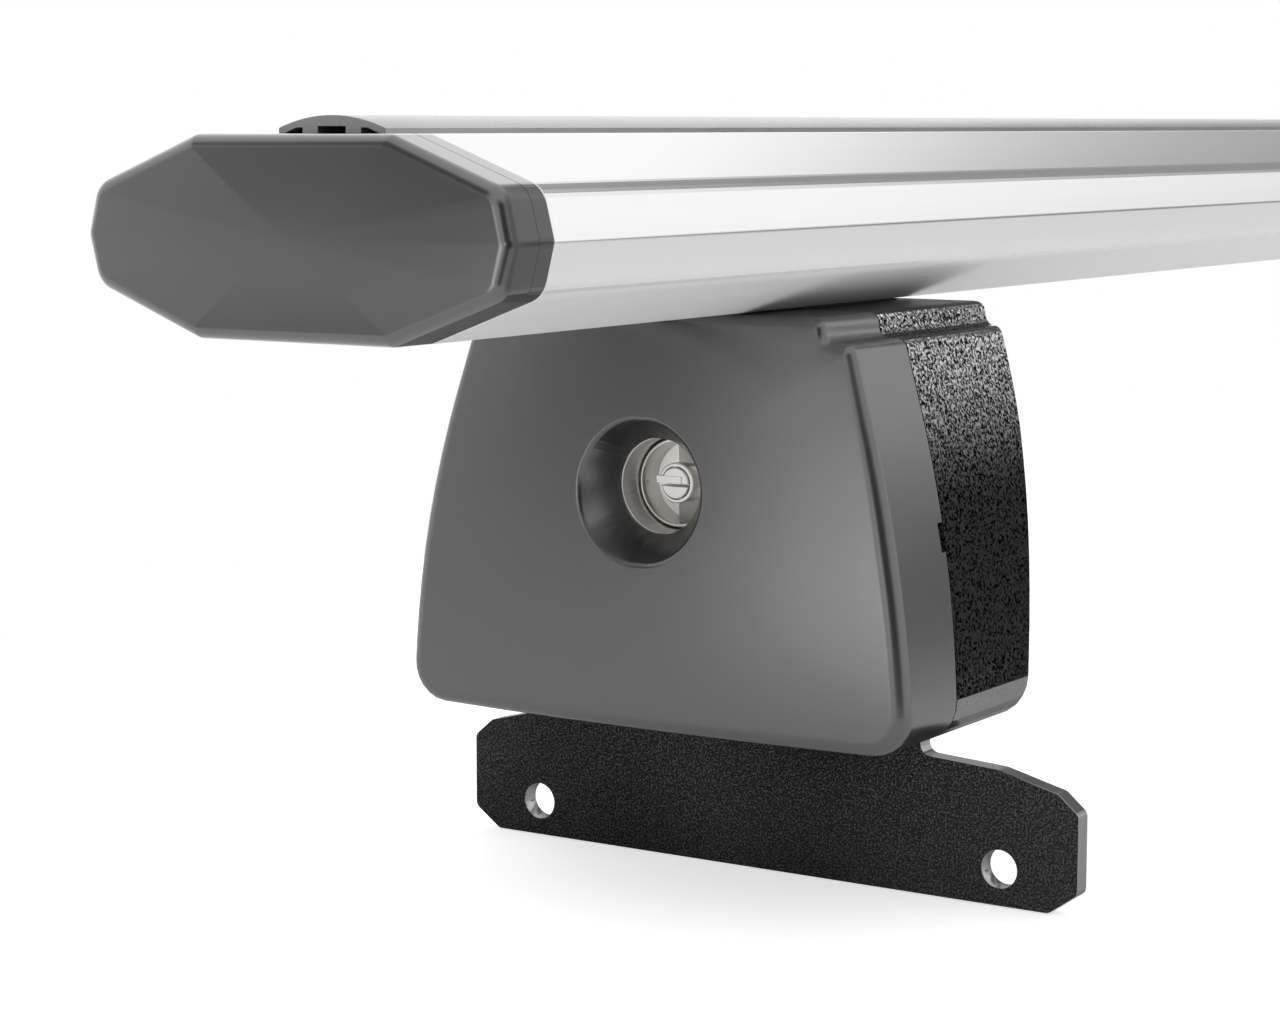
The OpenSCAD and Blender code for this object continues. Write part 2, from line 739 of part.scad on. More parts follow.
module lock_sleeve(side) {
    color(bright) on_lock(side) difference() {
        rod_x(sleeve_r, sleeve_front, sleeve_back);
        rod_x(sleeve_bore_r, sleeve_front - over, sleeve_back - bearing_l);
        rod_x(plug_r + plug_fit, sleeve_front, sleeve_back + over);
    }
}

module lock_seal(side) {
    back = head_front + head_t + plug_fit;
    color(rubber) on_lock(side)
        tube_x(sleeve_bore_r, plug_r + plug_fit, back, back + seal_t);
}

// The plug's head is a cup with a post in it. Two ridges run from the post to
// the cup's wall, and a keyed disc stands in the post.
module plug_ridges() {
    floor_x = head_front + cup_d + eps;
    crest_x = head_front + ridge_set;
    intersection() {
        linear_extrude(2 * head_r, center = true)
            polygon([[floor_x, -ridge_half], [floor_x, ridge_half], [crest_x, 0]]);
        rod_x(head_r - cup_wall / 2, head_front, floor_x);
    }
}

module lock_plug(side) {
    f = head_front;
    post = f - post_rise;
    disc = post - disc_rise;
    edge = disc_rise / 2;
    back = cam_front + cam_t;
    floor_x = f + cup_d;
    bar_l = post_r + disc_r / 2;
    color(bright) on_lock(side) difference() {
        union() {
            turned_x([
                [0, disc], [disc_r - edge, disc], [disc_r, disc + edge], [disc_r, post + disc_groove],
                [disc_r + edge, post + disc_groove], [disc_r + edge, post], [post_r - edge, post],
                [post_r, post + edge], [post_r, floor_x], [head_r - 2 * cup_wall, floor_x],
                [head_r - cup_wall, f], [head_r - edge, f], [head_r, f + edge], [head_r, f + head_t],
                [plug_r, f + head_t], [plug_r, sleeve_back],
                [tail_r, sleeve_back], [tail_r, back], [0, back]
            ]);
            plug_ridges();
            translate([disc - key_bar_rise, post_r - bar_l, 0])
                cube([disc_rise + disc_groove, bar_l, key_bar_h]);
        }
        translate([disc - over, -disc_r - edge / 2, -keyway_w])
            cube([keyway_d + over, disc_r + post_r + over, keyway_w]);
        rod_x(cam_screw_r, cam_front - cam_screw_l, back + over);
    }
}

module lock_cam(side) {
    back = cam_front + cam_t;
    color(zinc) on_lock(side) difference() {
        union() {
            rod_x(tail_r + cam_rim, cam_front, back);
            translate([0, cam_reach - cam_w / 2, 0]) rod_x(cam_w / 2, cam_front, back);
            translate([cam_front, 0, -cam_w / 2]) cube([cam_t, cam_reach - cam_w / 2, cam_w]);
        }
        rod_x(tail_r + plug_fit, cam_front - over, back + over);
    }
}

module cam_screw(side) {
    back = cam_front + cam_t;
    head = tail_r + cam_rim / 2;
    color(zinc) on_lock(side) difference() {
        union() {
            rod_x(cam_screw_r - thread_fit, cam_front - cam_screw_l + over, back + eps);
            rod_x(head, back, back + cam_screw_head);
        }
        translate([back + cam_screw_head / 2, -head, -keyway_w])
            cube([cam_screw_head, 2 * head, 2 * keyway_w]);
    }
}

module sleeve_nut(side) {
    color(zinc) on_lock(side) difference() {
        translate([boss_back, 0, 0]) rotate([0, 90, 0])
            cylinder(r = sleeve_r + sleeve_nut_rim, h = sleeve_nut_t, $fn = 6);
        rod_x(sleeve_r + thread_fit, boss_back - over, boss_back + sleeve_nut_t + over);
    }
}

// The leg's side view: a leaning front and a rear that turns twice. The lipped
// one adds the saddle's rear edge, which stands out over the leg.
leg_heel = [leg_base_d, base_z];
leg_low = [leg_low_d, base_z + leg_low_h];
leg_turn = [leg_turn_d, base_z + leg_turn_h];
leg_top = [leg_top_d, foot_top_z];
leg_step = leg_turn + (leg_top - leg_turn) * (step_z - leg_turn[1]) / (foot_top_z - leg_turn[1]);

function leg_corners(front, lipped) = concat(
    [[front + lean_x(base_z), base_z, 0, 1],
     [each leg_heel, leg_heel_r, 6],
     [each leg_low, reach_r(leg_heel, leg_low, leg_turn, rear_reach), 6],
     [each leg_turn, reach_r(leg_low, leg_turn, leg_top, rear_reach), 6]],
    !lipped ? [[each leg_top, leg_crest_r, 4]]
    : [[each leg_step, leg_crest_r, 4], [saddle_d, step_z, leg_crest_r, 4],
       [saddle_d, foot_top_z, leg_crest_r, 4]],
    [[front + lean_x(foot_top_z), foot_top_z, 0, 1]]
);

module leg_profile(front, inset, width, lipped = false) {
    along_y(width) polygon(rounded(leg_corners(front, lipped), inset));
}

module peg_socket() {
    boss = peg_r + peg_fit + rib_t;
    front = leg_front + lean_x(base_z + peg_h);
    for (y = [-1, 1]) translate([0, y * peg_half, base_z + peg_h]) {
        rod_x(boss, front, cover_d + peg_reach + rib_t);
        translate([front, -boss, -peg_h + leg_base_t / 2])
            cube([cover_d + peg_reach + rib_t - front, 2 * boss, peg_h - leg_base_t / 2]);
    }
}

module leg_cavity() {
    wide = 3 * base_half;
    intersection() {
        along_x(0, 2 * leg_top_d) foot_outline(leg_wall);
        leg_profile(-leg_top_d, leg_rear_t, wide);
        translate([-over, -wide / 2, base_z + leg_base_t])
            cube([2 * leg_top_d, wide, foot_top_z - leg_top_t - base_z - leg_base_t]);
    }
}

module leg_tongue() {
    inset = cover_wall + tongue_fit;
    intersection() {
        along_x(0, 2 * leg_front) difference() {
            foot_outline(inset);
            foot_outline(inset + tongue_t);
        }
        leaning_slab(leg_front - tongue_l, leg_front + over, 3 * base_half, base_z, foot_top_z);
    }
}

module saddle_pocket(inset) {
    start = leg_front + pad_margin + inset;
    half = pad_half + pad_fit - inset;
    translate([start, -half, foot_top_z - pad_t + pad_proud])
        cube([saddle_d - pad_margin - inset - start, 2 * half, 2 * pad_t]);
}

module leg(side) {
    color(black_coat) at_foot(side) difference() {
        union() {
            difference() {
                intersection() {
                    along_x(0, 2 * leg_top_d) foot_outline();
                    leg_profile(leg_front, 0, 3 * base_half, lipped = true);
                }
                leg_cavity();
            }
            leg_tongue();
            intersection() {
                union() {
                    peg_socket();
                    translate([catch_front, -base_half, lock_z + catch_h])
                        cube([catch_t, 2 * base_half, catch_w]);
                    for (y = [-1, 1]) translate([cover_d + rib_in, y * rib_half - leg_rib_t / 2, base_z])
                        cube([leg_top_d, leg_rib_t, foot_h]);
                }
                along_x(0, 2 * leg_top_d) foot_outline(leg_wall / 2);
                leg_profile(0, leg_rear_t / 2, 3 * base_half);
            }
        }
        for (x = clamp_x) translate([x, 0, 0]) rod_z(clamp_r + bolt_fit, foot_top_z - leg_top_t - over, 0);
        for (y = [-1, 1]) translate([plate_d - base_bolt_in, y * base_bolt_pitch / 2, 0])
            rod_z(base_bolt_r + bolt_fit, base_z - over, base_z + leg_base_t + over);
        for (y = [-1, 1]) translate([0, y * peg_half, base_z + peg_h])
            rod_x(peg_r + peg_fit, 0, cover_d + peg_reach + peg_fit);
        saddle_pocket(0);
    }
}

module saddle_pad(side) {
    color(rubber) at_foot(side) difference() {
        intersection() {
            saddle_pocket(pad_fit);
            translate([0, -base_half, foot_top_z - pad_t])
                cube([2 * leg_top_d, 2 * base_half, pad_t + pad_proud]);
        }
        for (x = clamp_x) translate([x, 0, 0]) rod_z(clamp_r + bolt_fit, foot_top_z - pad_t - over, 0);
    }
}

// The bracket's plate, a T whose neck runs up into the bend
plate_low = base_z - plate_drop;
bend_out = bend_r + plate_t;
plate_corners = mirrored([
    [plate_half - low_cut_w, plate_low, plate_corner_r, 3],
    [plate_half, plate_low + low_cut_h, plate_corner_r, 3],
    [plate_half, plate_low + plate_end_h, plate_corner_r, 3],
    [plate_half - top_cut_w, plate_low + plate_end_h + top_cut_h, plate_corner_r, 3],
    [(plate_half + neck_half) / 2, plate_low + plate_mid_h - relief_r / 2, 3 * plate_corner_r, 4],
    [neck_half, plate_low + plate_mid_h, relief_r, 6],
    [neck_half, base_z - bend_out, 0, 1]
]);

module base_bracket(side) {
    color(black_coat) at_foot(side) difference() {
        union() {
            along_x(plate_d, plate_d + plate_t) polygon(rounded(plate_corners));
            translate([plate_d - bend_r, -neck_half, base_z - bend_out]) rotate([-90, 0, 0])
                rotate_extrude(angle = -90, $fn = round_fn)
                    translate([bend_r, 0]) square([plate_t, 2 * neck_half]);
            translate([plate_d - flange_d, -neck_half, base_z - plate_t])
                cube([flange_d - bend_r, 2 * neck_half, plate_t]);
        }
        for (y = [-1, 1]) {
            translate([0, y * hole_pitch / 2, plate_low + hole_h])
                rod_x(hole_r, plate_d - over, plate_d + plate_t + over);
            translate([plate_d - base_bolt_in, y * base_bolt_pitch / 2, 0])
                rod_z(base_bolt_r + bolt_fit, base_z - plate_t - over, base_z + over);
        }
    }
}

// Hexagon blank with its flats across X
module hex_z(across, from, to) {
    translate([0, 0, from]) cylinder(r = across / sqrt(3), h = to - from, $fn = 6);
}

nut_low = -bar_h / 2 + bar_wall + nut_play;
head_top = foot_top_z - leg_top_t - washer_t(clamp_r);

module channel_nut(side) {
    length = clamp_x[1] - clamp_x[0] + 2 * nut_end;
    color(zinc) at_foot(side) difference() {
        translate([clamp_x[0] - nut_end, -nut_w / 2, nut_low]) cube([length, nut_w, nut_t]);
        for (x = clamp_x) translate([x, 0, 0])
            rod_z(clamp_r + thread_fit, nut_low - over, nut_low + nut_t + over);
    }
}

module clamp_bolts(side) {
    color(zinc) at_foot(side) for (x = clamp_x) translate([x, 0, 0]) {
        rod_z(clamp_r, head_top - eps, nut_low + nut_t + bolt_tip);
        rotate([0, 0, 30]) hex_z(head_across(clamp_r), head_top - head_height(clamp_r), head_top);
    }
}

module clamp_washers(side) {
    color(zinc) at_foot(side) for (x = clamp_x) translate([x, 0, 0]) difference() {
        rod_z(washer_r(clamp_r), head_top, head_top + washer_t(clamp_r));
        rod_z(clamp_r + bolt_fit / 2, head_top - over, head_top + washer_t(clamp_r) + over);
    }
}

// Places a copy at each base bolt
module at_base_bolts(side) {
    at_foot(side) for (y = [-1, 1])
        translate([plate_d - base_bolt_in, y * base_bolt_pitch / 2, 0]) children();
}

floor_z = base_z + leg_base_t;
base_nut_z = floor_z + washer_t(base_bolt_r);

module base_bolts(side) {
    low = base_z - plate_t;
    color(zinc) at_base_bolts(side) {
        rod_z(base_bolt_r, low - eps, base_nut_z + head_height(base_bolt_r) + bolt_tip);
        rod_z(washer_r(base_bolt_r), low - base_head_t, low);
    }
}

module base_washers(side) {
    color(zinc) at_base_bolts(side) difference() {
        rod_z(washer_r(base_bolt_r), floor_z, base_nut_z);
        rod_z(base_bolt_r + bolt_fit / 2, floor_z - over, base_nut_z + over);
    }
}

module base_nuts(side) {
    color(zinc) at_base_bolts(side) difference() {
        hex_z(head_across(base_bolt_r), base_nut_z, base_nut_z + head_height(base_bolt_r));
        rod_z(base_bolt_r + thread_fit, base_nut_z - over, base_nut_z + head_height(base_bolt_r) + over);
    }
}

bar();
top_strip();
end_cap("left");  // left_end_cap
end_cap("right");  // right_end_cap
cap_collar("left");  // left_cap_collar
cap_collar("right");  // right_cap_collar
leg("left");  // left_leg
leg("right");  // right_leg
saddle_pad("left");  // left_saddle_pad
saddle_pad("right");  // right_saddle_pad
base_bracket("left");  // left_base_bracket
base_bracket("right");  // right_base_bracket
cover("left");  // left_cover
cover("right");  // right_cover
lock_sleeve("left");  // left_lock_sleeve
lock_sleeve("right");  // right_lock_sleeve
lock_seal("left");  // left_lock_seal
lock_seal("right");  // right_lock_seal
lock_plug("left");  // left_lock_plug
lock_plug("right");  // right_lock_plug
lock_cam("left");  // left_lock_cam
lock_cam("right");  // right_lock_cam
cam_screw("left");  // left_cam_screw
cam_screw("right");  // right_cam_screw
sleeve_nut("left");  // left_sleeve_nut
sleeve_nut("right");  // right_sleeve_nut
channel_nut("left");  // left_channel_nut
channel_nut("right");  // right_channel_nut
clamp_bolts("left");  // left_clamp_bolts
clamp_bolts("right");  // right_clamp_bolts
clamp_washers("left");  // left_clamp_washers
clamp_washers("right");  // right_clamp_washers
base_bolts("left");  // left_base_bolts
base_bolts("right");  // right_base_bolts
base_washers("left");  // left_base_washers
base_washers("right");  // right_base_washers
base_nuts("left");  // left_base_nuts
base_nuts("right");  // right_base_nuts
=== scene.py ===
"""Roof rack crossbar: materials, soft edges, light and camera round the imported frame."""

import math

import bpy
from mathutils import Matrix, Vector


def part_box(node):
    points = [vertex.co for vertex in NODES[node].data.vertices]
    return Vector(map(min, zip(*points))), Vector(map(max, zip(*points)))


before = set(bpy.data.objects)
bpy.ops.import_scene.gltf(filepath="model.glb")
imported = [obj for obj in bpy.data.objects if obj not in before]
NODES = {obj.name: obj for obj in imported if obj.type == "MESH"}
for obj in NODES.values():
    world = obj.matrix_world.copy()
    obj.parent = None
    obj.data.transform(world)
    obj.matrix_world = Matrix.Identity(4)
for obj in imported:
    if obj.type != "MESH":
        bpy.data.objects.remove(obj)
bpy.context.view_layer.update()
scene = bpy.context.scene
SIDES = ("left", "right")
X, Y, Z = range(3)


# Node helpers. A noise's scale is per metre, and widths and depths are in metres
class Nodes:
    """Short calls that add shader nodes to a tree."""

    def __init__(self, tree):
        self.tree = tree
        tree.nodes.clear()

    def node(self, kind, **values):
        n = self.tree.nodes.new("ShaderNode" + kind)
        for k, v in values.items():
            setattr(n, k, v)
        return n

    def put(self, socket, value):
        """Links another node's output to a socket, or sets the socket itself."""
        if hasattr(value, "is_output"):
            self.tree.links.new(value, socket)
        else:
            socket.default_value = value

    def math(self, op, a, b=0.0, c=0.0):
        n = self.node("Math", operation=op)
        for i, v in enumerate((a, b, c)):
            self.put(n.inputs[i], v)
        return n.outputs[0]

    def times(self, a, b):
        return self.math("MULTIPLY", a, b)

    def ramp(self, value, low, high, to_low=0.0, to_high=1.0):
        """Turns low to high smoothly into to_low to to_high, and stops at both."""
        n = self.node("MapRange", interpolation_type="SMOOTHSTEP")
        for i, v in enumerate((value, low, high, to_low, to_high)):
            self.put(n.inputs[i], v)
        return n.outputs[0]


# The values that most of a noise lies between
NOISE_LOW, NOISE_HIGH = 0.3, 0.7


class Mat(Nodes):
    """A material, and short calls for the patterns on its surface."""

    def __init__(self, name):
        self.m = bpy.data.materials.new(name)
        self.m.use_nodes = True
        super().__init__(self.m.node_tree)
        out = self.node("OutputMaterial")
        self.shader = self.node("BsdfPrincipled")
        self.put(out.inputs[0], self.shader.outputs[0])
        coordinates = self.node("TexCoord").outputs
        self.place = coordinates["Object"]
        self.facing = coordinates["Normal"]

    def set(self, **values):
        """Sets or links sockets of the surface shader, with _ for a space."""
        for k, v in values.items():
            self.put(self.shader.inputs[k.replace("_", " ")], v)

    def part(self, vector, axis):
        """One coordinate of a vector."""
        n = self.node("SeparateXYZ")
        self.put(n.inputs[0], vector)
        return n.outputs[axis]

    def tilt(self, axis):
        """How far a face points along an axis, either way: 0 to 1."""
        return self.math("ABSOLUTE", self.part(self.facing, axis))

    def noise(self, scale, detail=2.0, rough=0.5):
        """Noise with one scale, or with one for each axis."""
        at = self.place
        if isinstance(scale, tuple):
            stretch = self.node("Mapping")
            self.put(stretch.inputs["Vector"], self.place)
            stretch.inputs["Scale"].default_value = scale
            at, scale = stretch.outputs[0], 1.0
        n = self.node("TexNoise")
        self.put(n.inputs["Vector"], at)
        n.inputs["Scale"].default_value = scale
        n.inputs["Detail"].default_value = detail
        n.inputs["Roughness"].default_value = rough
        return n.outputs["Fac"]

    def spread(self, noise, low, high):
        """Spreads a noise from low to high."""
        return self.ramp(noise, NOISE_LOW, NOISE_HIGH, low, high)

    def mix(self, fac, a, b):
        """Mixes two colours by a factor."""
        n = self.node("Mix", data_type="RGBA")
        self.put(n.inputs["Factor"], fac)
        self.put(n.inputs[6], a)
        self.put(n.inputs[7], b)
        return n.outputs[2]

    def grey(self, value):
        """The grey that a node's output says."""
        n = self.node("CombineColor")
        for s in n.inputs[:3]:
            self.put(s, value)
        return n.outputs[0]

    def bump(self, height, distance, strength, before=None):
        n = self.node("Bump")
        self.put(n.inputs["Height"], height)
        n.inputs["Strength"].default_value = strength
        n.inputs["Distance"].default_value = distance
        if before is not None:
            self.put(n.inputs["Normal"], before)
        return n.outputs[0]


def grey(v):
    return (v, v, v, 1.0)


# Materials
# The bar's surface on its top and noses, and on its underside, which is matt and painted
# lighter as painted light from below
BRIGHT = {"metal": 0.95, "tone": 0.785, "rough": 0.18}
MATT_PAINTED_LIGHT = {"metal": 0.05, "tone": 0.96, "rough": 0.5}
# How far down a face points where it starts to be matt and painted lighter, as painted light
# from below, and where it is all so
PAINTED_LIGHT_FROM, PAINTED_LIGHT_ALL = -0.4, -0.8
# Fine and broad die lines, which run along X, and how much they change
DIE_LINES, DIE_BANDS = (2.0, 2600.0, 2600.0), (1.2, 160.0, 160.0)
TONE_SWING, STREAK_SWING = 0.015, 0.02


def aluminium():
    """Anodised extrusion: bright satin on top and along the noses, and below a matt copy
    whose colour is painted lighter as painted light from below, with faint die lines along
    the bar."""
    m = Mat("satin_aluminium")
    lines = m.noise(DIE_LINES, 3.0, 0.6)
    bands = m.noise(DIE_BANDS)
    # Painted light: faces turned down get a lighter, matt copy of the metal, which stands in
    # for light from below
    below = m.ramp(m.part(m.facing, Z), PAINTED_LIGHT_FROM, PAINTED_LIGHT_ALL)

    def finish_and_painted_light(key):
        return m.ramp(below, 0.0, 1.0, BRIGHT[key], MATT_PAINTED_LIGHT[key])

    tone = m.spread(bands, -TONE_SWING, TONE_SWING)
    streak = m.spread(lines, -STREAK_SWING, STREAK_SWING)
    m.set(
        Metallic=finish_and_painted_light("metal"),
        Base_Color=m.grey(m.math("ADD", tone, finish_and_painted_light("tone"))),
        Roughness=m.math("ADD", streak, finish_and_painted_light("rough")),
        Normal=m.bump(lines, 0.000003, 0.6),
    )
    return m.m


def plastic(name, base, rough, ior):
    """Satin moulded plastic with a very fine grain and faint clouds."""
    m = Mat(name)
    grain = m.noise(5200.0, 2.0, 0.6)
    cloud = m.noise(38.0)
    m.set(
        IOR=ior,
        Base_Color=m.mix(m.spread(cloud, 0.0, 1.0), grey(base * 0.94), grey(base * 1.06)),
        Roughness=m.spread(grain, rough - 0.02, rough + 0.02),
        Normal=m.bump(grain, 0.000008, 0.5),
    )
    return m


# Where each end cap meets its collar, and half the width of that dark seam
SEAM_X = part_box("right_cap_collar")[1].x
SEAM_W = 0.0002
CAP_ROUGH = 0.2
# What is left of the caps' gloss coat on their narrow sides
SIDE_COAT = 0.1


def cap_plastic():
    """The caps' plastic, which shines on its face and top, is duller on its narrow
    sides and is dark in the seam between cap and collar."""
    m = plastic("cap_plastic", 0.02, CAP_ROUGH, 1.6)
    from_middle = m.math("ABSOLUTE", m.part(m.place, X))
    from_seam = m.math("ABSOLUTE", m.math("SUBTRACT", from_middle, SEAM_X))
    clear = m.ramp(from_seam, 0.5 * SEAM_W, SEAM_W)
    front = m.ramp(m.tilt(Y), 0.7, 0.95, 1.0, SIDE_COAT)
    m.set(Coat_Weight=m.times(clear, front), Coat_Roughness=CAP_ROUGH, Coat_IOR=1.95)
    return m.m


# The noise at the foot and at the top of the powder coat's grains
GRAIN_FOOT, GRAIN_TOP = 0.37, 0.58
GRAIN_ROUGH, SMOOTH_ROUGH = 0.22, 0.13
# How much the coat's smooth parts reflect, and its tint where it is seen edge on
SMOOTH_GLOSS = 0.39
EDGE_TINT = 0.35


def coat(name, grain, depth, dull, bright, smooth, shine):
    """Black powder coat, whose grains are bright on top and dull between, where painted shade
    darkens the hollows. smooth(m) masks where the grain stops, and shine(m) is how much the
    grained faces reflect."""
    m = Mat(name)
    cell = m.noise(1.0 / grain, 2.5, 0.6)
    hills = m.ramp(cell, GRAIN_FOOT, GRAIN_TOP)
    fine = m.noise(7000.0, 1.0)
    flat = smooth(m)
    height = m.times(hills, m.math("SUBTRACT", 1.0, flat))
    # Grain with painted shade: the valleys between the grains reflect little, as shade in the
    # hollows
    grain_and_painted_shade = m.ramp(hills, 0.0, 1.0, dull, bright)
    level = m.math("MAXIMUM", m.times(flat, SMOOTH_GLOSS), m.times(shine(m), grain_and_painted_shade))
    m.set(
        Metallic=1.0,
        Specular_Tint=grey(EDGE_TINT),
        Base_Color=m.grey(level),
        Roughness=m.ramp(flat, 0.0, 1.0, GRAIN_ROUGH, SMOOTH_ROUGH),
        Normal=m.bump(fine, 0.000004, 0.3, m.bump(height, depth, 1.0)),
    )
    return m.m


# Top of the leg's rounded lower corners, and the height over which they fade out
CORNER_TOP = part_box("left_leg")[0].z + 0.014
CORNER_FADE = 0.002
LEDGE_SMOOTH = 0.45


def leg_smooth(m):
    """The leg's rounded lower corners are smooth, and its ledges half so."""
    across = m.ramp(m.tilt(X), 0.4, 0.6, 1.0, 0.0)
    low = m.ramp(m.part(m.place, Z), CORNER_TOP, CORNER_TOP + CORNER_FADE, 1.0, 0.0)
    down = m.ramp(m.part(m.facing, Z), 0.0, -0.08)
    ledge = m.ramp(m.part(m.facing, Z), 0.4, 0.65, 0.0, LEDGE_SMOOTH)
    return m.math("MAXIMUM", m.times(down, m.times(across, low)), ledge)


# Heights between which a painted highlight brightens the leg's sides, what they gain, and all
# its faces' own
PAINTED_HIGHLIGHT_FROM, PAINTED_HIGHLIGHT_ALL = 0.073, 0.108
SIDE_PAINTED_HIGHLIGHT, LEG_SHINE = 0.57, 0.06


def leg_shine_and_painted_highlight(m):
    """The top half of the leg's sides is painted brighter, as a painted highlight."""
    sides = m.ramp(m.tilt(Y), 0.5, 0.85)
    # Painted highlight: the sides reflect more towards the top, as if more light fell there
    painted_highlight = m.ramp(m.part(m.place, Z), PAINTED_HIGHLIGHT_FROM, PAINTED_HIGHLIGHT_ALL, 0.0, SIDE_PAINTED_HIGHLIGHT)
    return m.math("MULTIPLY_ADD", sides, painted_highlight, LEG_SHINE)


def plate_smooth(m):
    """The cut edges and holes of the bracket's plate are smooth."""
    return m.ramp(m.tilt(X), 0.78, 0.97, 1.0, 0.0)


def plate_shine(m):
    """The plate's gloss changes a little from place to place."""
    return m.ramp(m.noise(14.0, 1.0), 0.35, 0.65, 0.042, 0.075)


def rubber(name, base, rough, ior=1.5):
    """Rubber with a fine grain and broad changes of tone."""
    m = Mat(name)
    grain = m.noise(3600.0, 2.0, 0.6)
    broad = m.noise(60.0)
    m.set(
        IOR=ior,
        Base_Color=m.mix(m.spread(broad, 0.0, 1.0), grey(base * 0.9), grey(base * 1.1)),
        Roughness=m.spread(grain, rough - 0.03, rough + 0.03),
        Normal=m.bump(grain, 0.00001, 0.4),
    )
    return m.m


# The tint of bare metal, and how bright its dull patches stay
METAL_TINT = (1.0, 0.985, 0.955)
METAL_DULL = 0.92


def metal(name, base, rough):
    """Turned or plated metal with slight wear."""
    m = Mat(name)
    fine = m.noise(2600.0, 2.0, 0.6)
    broad = m.noise(240.0, 3.0, 0.6)
    warm = [base * c for c in METAL_TINT]
    dull = [METAL_DULL * c for c in warm]
    m.set(
        Metallic=1.0,
        Base_Color=m.mix(m.spread(broad, 0.0, 1.0), (*dull, 1.0), (*warm, 1.0)),
        Roughness=m.spread(broad, rough - 0.03, rough + 0.04),
        Normal=m.bump(fine, 0.000001, 0.5),
    )
    return m.m


MATERIALS = {
    "bar": aluminium(),
    "top_strip": rubber("strip_rubber", 0.2, 0.22, 3.0),
    "end_cap": cap_plastic(),
    "cover": plastic("cover_plastic", 0.022, 0.24, 2.2).m,
    "leg": coat("leg_coat", 0.00056, 0.0006, 0.03, 1.35, leg_smooth, leg_shine_and_painted_highlight),
    "saddle_pad": rubber("pad_rubber", 0.03, 0.6),
    "base_bracket": coat(
        "bracket_coat", 0.00038, 0.0003, 0.3, 1.3, plate_smooth, plate_shine
    ),
    "lock_seal": rubber("seal_rubber", 0.015, 0.5),
    "lock_sleeve": metal("lock_metal", 0.84, 0.34),
    "plated": metal("plated_steel", 0.62, 0.32),
    "base_bolts": metal("black_zinc", 0.09, 0.3),
}
MATERIALS["cap_collar"] = MATERIALS["end_cap"]
MATERIALS["lock_plug"] = MATERIALS["lock_sleeve"]

# Width of the soft edge on each kind of node
EDGES = {
    "bar": 0.00025,
    "cap_collar": 0.00015,
    "end_cap": 0.00015,
    "cover": 0.00012,
    "leg": 0.0004,
    "base_bracket": 0.0004,
    "lock_sleeve": 0.00025,
    "lock_plug": 0.0001,
    "lock_cam": 0.0003,
    "sleeve_nut": 0.0003,
    "channel_nut": 0.0004,
    "clamp_bolts": 0.0004,
    "clamp_washers": 0.0002,
    "base_bolts": 0.0004,
    "base_washers": 0.0002,
    "base_nuts": 0.0004,
}

# Skins of small faces, which are shaded as one smooth surface
SKINS = ("end_cap", "cover")
WELD_WITHIN = 1e-6
FLAT_ANGLE = math.radians(0.3)
SHARP_ANGLE = math.radians(35)


def soften(obj, width, skin):
    """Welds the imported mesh, joins its flat faces unless it is a skin, and rounds
    its sharp edges."""
    weld = obj.modifiers.new("weld", "WELD")
    weld.merge_threshold = WELD_WITHIN
    if not skin:
        join = obj.modifiers.new("join", "DECIMATE")
        join.decimate_type = "DISSOLVE"
        join.angle_limit = FLAT_ANGLE
    bevel = obj.modifiers.new("edge", "BEVEL")
    bevel.width = width
    bevel.segments = 2
    bevel.limit_method = "ANGLE"
    bevel.angle_limit = SHARP_ANGLE
    bevel.use_clamp_overlap = True
    bevel.harden_normals = not skin
    if skin:
        shade = obj.modifiers.new("shade", "WEIGHTED_NORMAL")
        shade.mode = "FACE_AREA"
        shade.weight = 50


for name, obj in NODES.items():
    kind = name.split("_", 1)[1] if name.split("_")[0] in SIDES else name
    obj.data.materials.clear()
    obj.data.materials.append(MATERIALS.get(kind, MATERIALS["plated"]))
    if kind in EDGES:
        soften(obj, EDGES[kind], kind in SKINS)


def bearing(az, el):
    """Unit vector at an angle from +X and a height above the horizon, in degrees."""
    a, e = math.radians(az), math.radians(el)
    return (math.cos(a) * math.cos(e), math.sin(a) * math.cos(e), math.sin(e))


# Camera
LOOK_AZ, LOOK_EL = 33.174, -7.235
EYE = (-0.96602, -0.28146, 0.13816)
SENSOR_MM, LENS_MM = 36.0, 84.174

cam = bpy.data.objects.new("camera", bpy.data.cameras.new("camera"))
cam.location = EYE
cam.rotation_mode = "QUATERNION"
cam.rotation_quaternion = Vector(bearing(LOOK_AZ, LOOK_EL)).to_track_quat("-Z", "Y")
cam.data.sensor_width = SENSOR_MM
cam.data.lens = LENS_MM
cam.data.clip_start = 0.01
cam.data.clip_end = 50.0
scene.collection.objects.link(cam)
scene.camera = cam
scene.view_settings.view_transform = "Standard"


# Floor
# Its half sizes, how far it lies below the part, and its colour
FLOOR = (0.8, 0.3)
FLOOR_GAP = 0.0002
FLOOR_TONE = 0.8
# The light of its own that it has in reflections, and to the camera
FLOOR_GLOW = 0.15
FLOOR_WHITE = 0.6


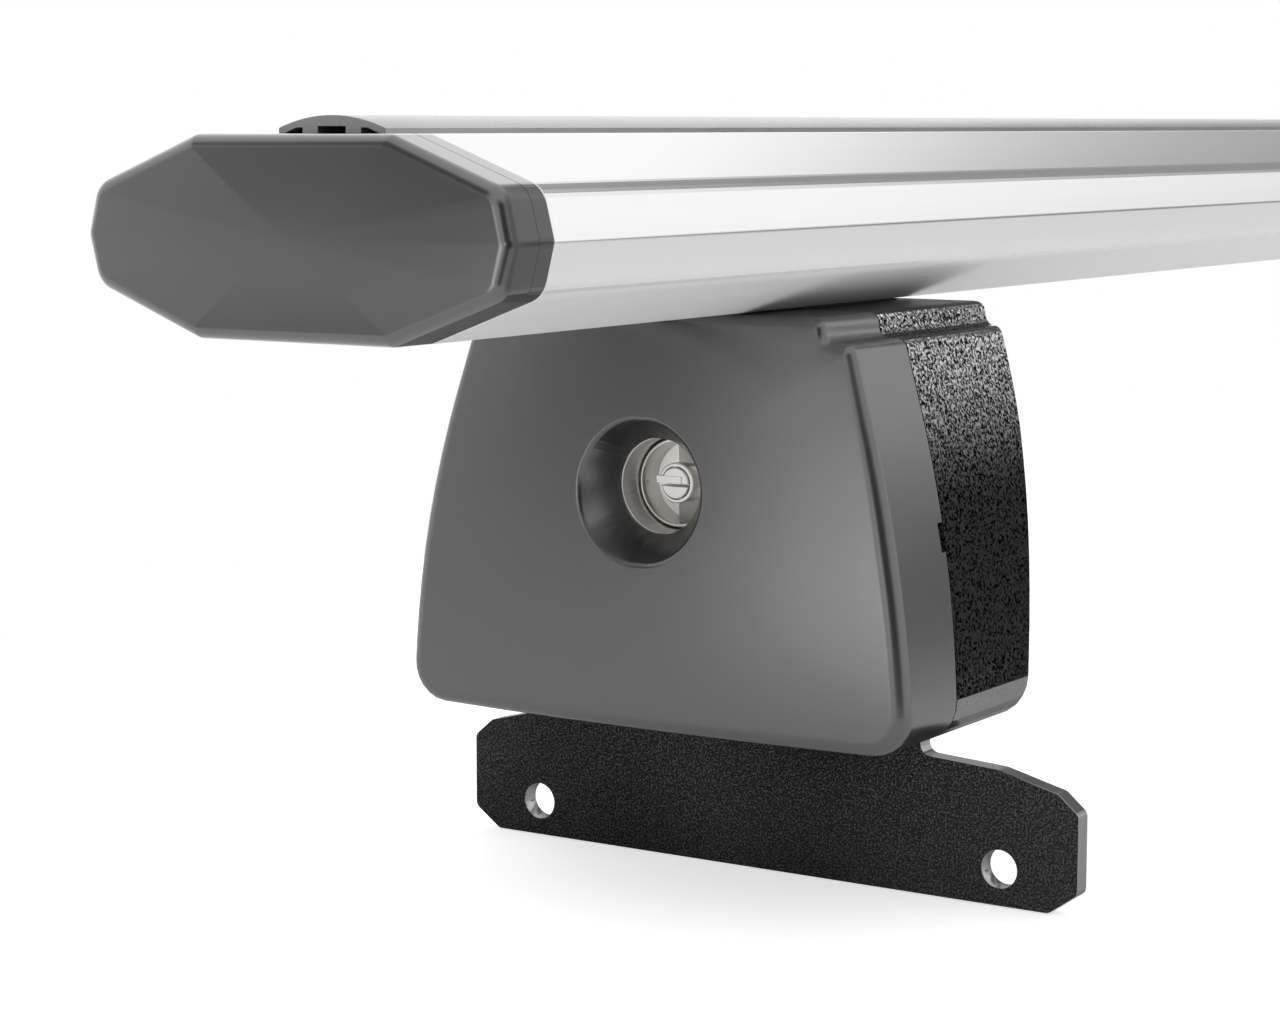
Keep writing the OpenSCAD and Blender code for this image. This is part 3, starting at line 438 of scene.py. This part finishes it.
def make_floor():
    """A pale floor under the part, which shows white and keeps its shadow."""
    bpy.ops.mesh.primitive_plane_add(size=2.0, location=(0.0, 0.0, -FLOOR_GAP))
    floor = bpy.context.object
    floor.name = "floor"
    floor.scale = (*FLOOR, 1.0)
    m = Mat("floor_white")
    ray = m.node("LightPath").outputs
    mirrored = m.math("MAXIMUM", ray["Is Glossy Ray"], ray["Is Transmission Ray"])
    seen = m.times(ray["Is Camera Ray"], FLOOR_WHITE)
    m.set(
        Base_Color=grey(FLOOR_TONE),
        Roughness=1.0,
        Specular_IOR_Level=0.0,
        Emission_Color=grey(1.0),
        Emission_Strength=m.math("MULTIPLY_ADD", mirrored, FLOOR_GLOW, seen),
    )
    floor.data.materials.append(m.m)


make_floor()


# Light
# The white room's light, and the least that its dark flags leave
ROOM = 1.0
DARKEST = 0.04
# Soft panels and dark flags: bearing and height, the angles of their full and of
# their last effect, and what they add to the room's light
PANELS = [
    (45.0, 26.0, 14.0, 34.0, 0.15),
    (32.0, 8.0, 5.0, 14.0, 0.3),
    (2.0, 22.0, 14.0, 21.5, -0.7),
    (-34.0, 20.0, 9.0, 20.0, 0.22),
    (-26.0, -3.0, 6.0, 14.0, -0.75),
    (140.0, -18.0, 5.0, 13.0, -0.3),
    (146.0, 38.0, 10.0, 26.0, -0.8),
    (168.0, -8.0, 6.0, 17.0, 1.25),
    (204.0, 2.0, 5.0, 13.0, 1.3),
    (140.0, -4.0, 12.0, 26.0, -0.22),
    (147.0, 8.0, 5.0, 15.0, -0.5),
    (228.0, 0.0, 18.0, 40.0, -0.95),
]


def make_world():
    """White to the camera, and a softly lit studio to everything else."""
    world = bpy.data.worlds.new("studio")
    world.use_nodes = True
    scene.world = world
    n = Nodes(world.node_tree)
    towards = n.node("TexCoord").outputs["Generated"]
    total = ROOM
    for az, el, full, end, added in PANELS:
        dot = n.node("VectorMath", operation="DOT_PRODUCT")
        n.put(dot.inputs[0], towards)
        n.put(dot.inputs[1], bearing(az, el))
        rim, core = math.cos(math.radians(end)), math.cos(math.radians(full))
        panel = n.ramp(dot.outputs["Value"], rim, core, 0.0, added)
        total = n.math("ADD", panel, total)
    ray = n.node("LightPath").outputs
    seen = n.node("Mix", data_type="FLOAT")
    n.put(seen.inputs[0], n.math("MAXIMUM", ray["Is Camera Ray"], ray["Is Transmission Ray"]))
    n.put(seen.inputs[2], n.math("MAXIMUM", total, DARKEST))
    n.put(seen.inputs[3], 1.0)
    sky = n.node("Background")
    n.put(sky.inputs["Color"], grey(1.0))
    n.put(sky.inputs["Strength"], seen.outputs[0])
    n.put(n.node("OutputWorld").inputs[0], sky.outputs[0])


make_world()
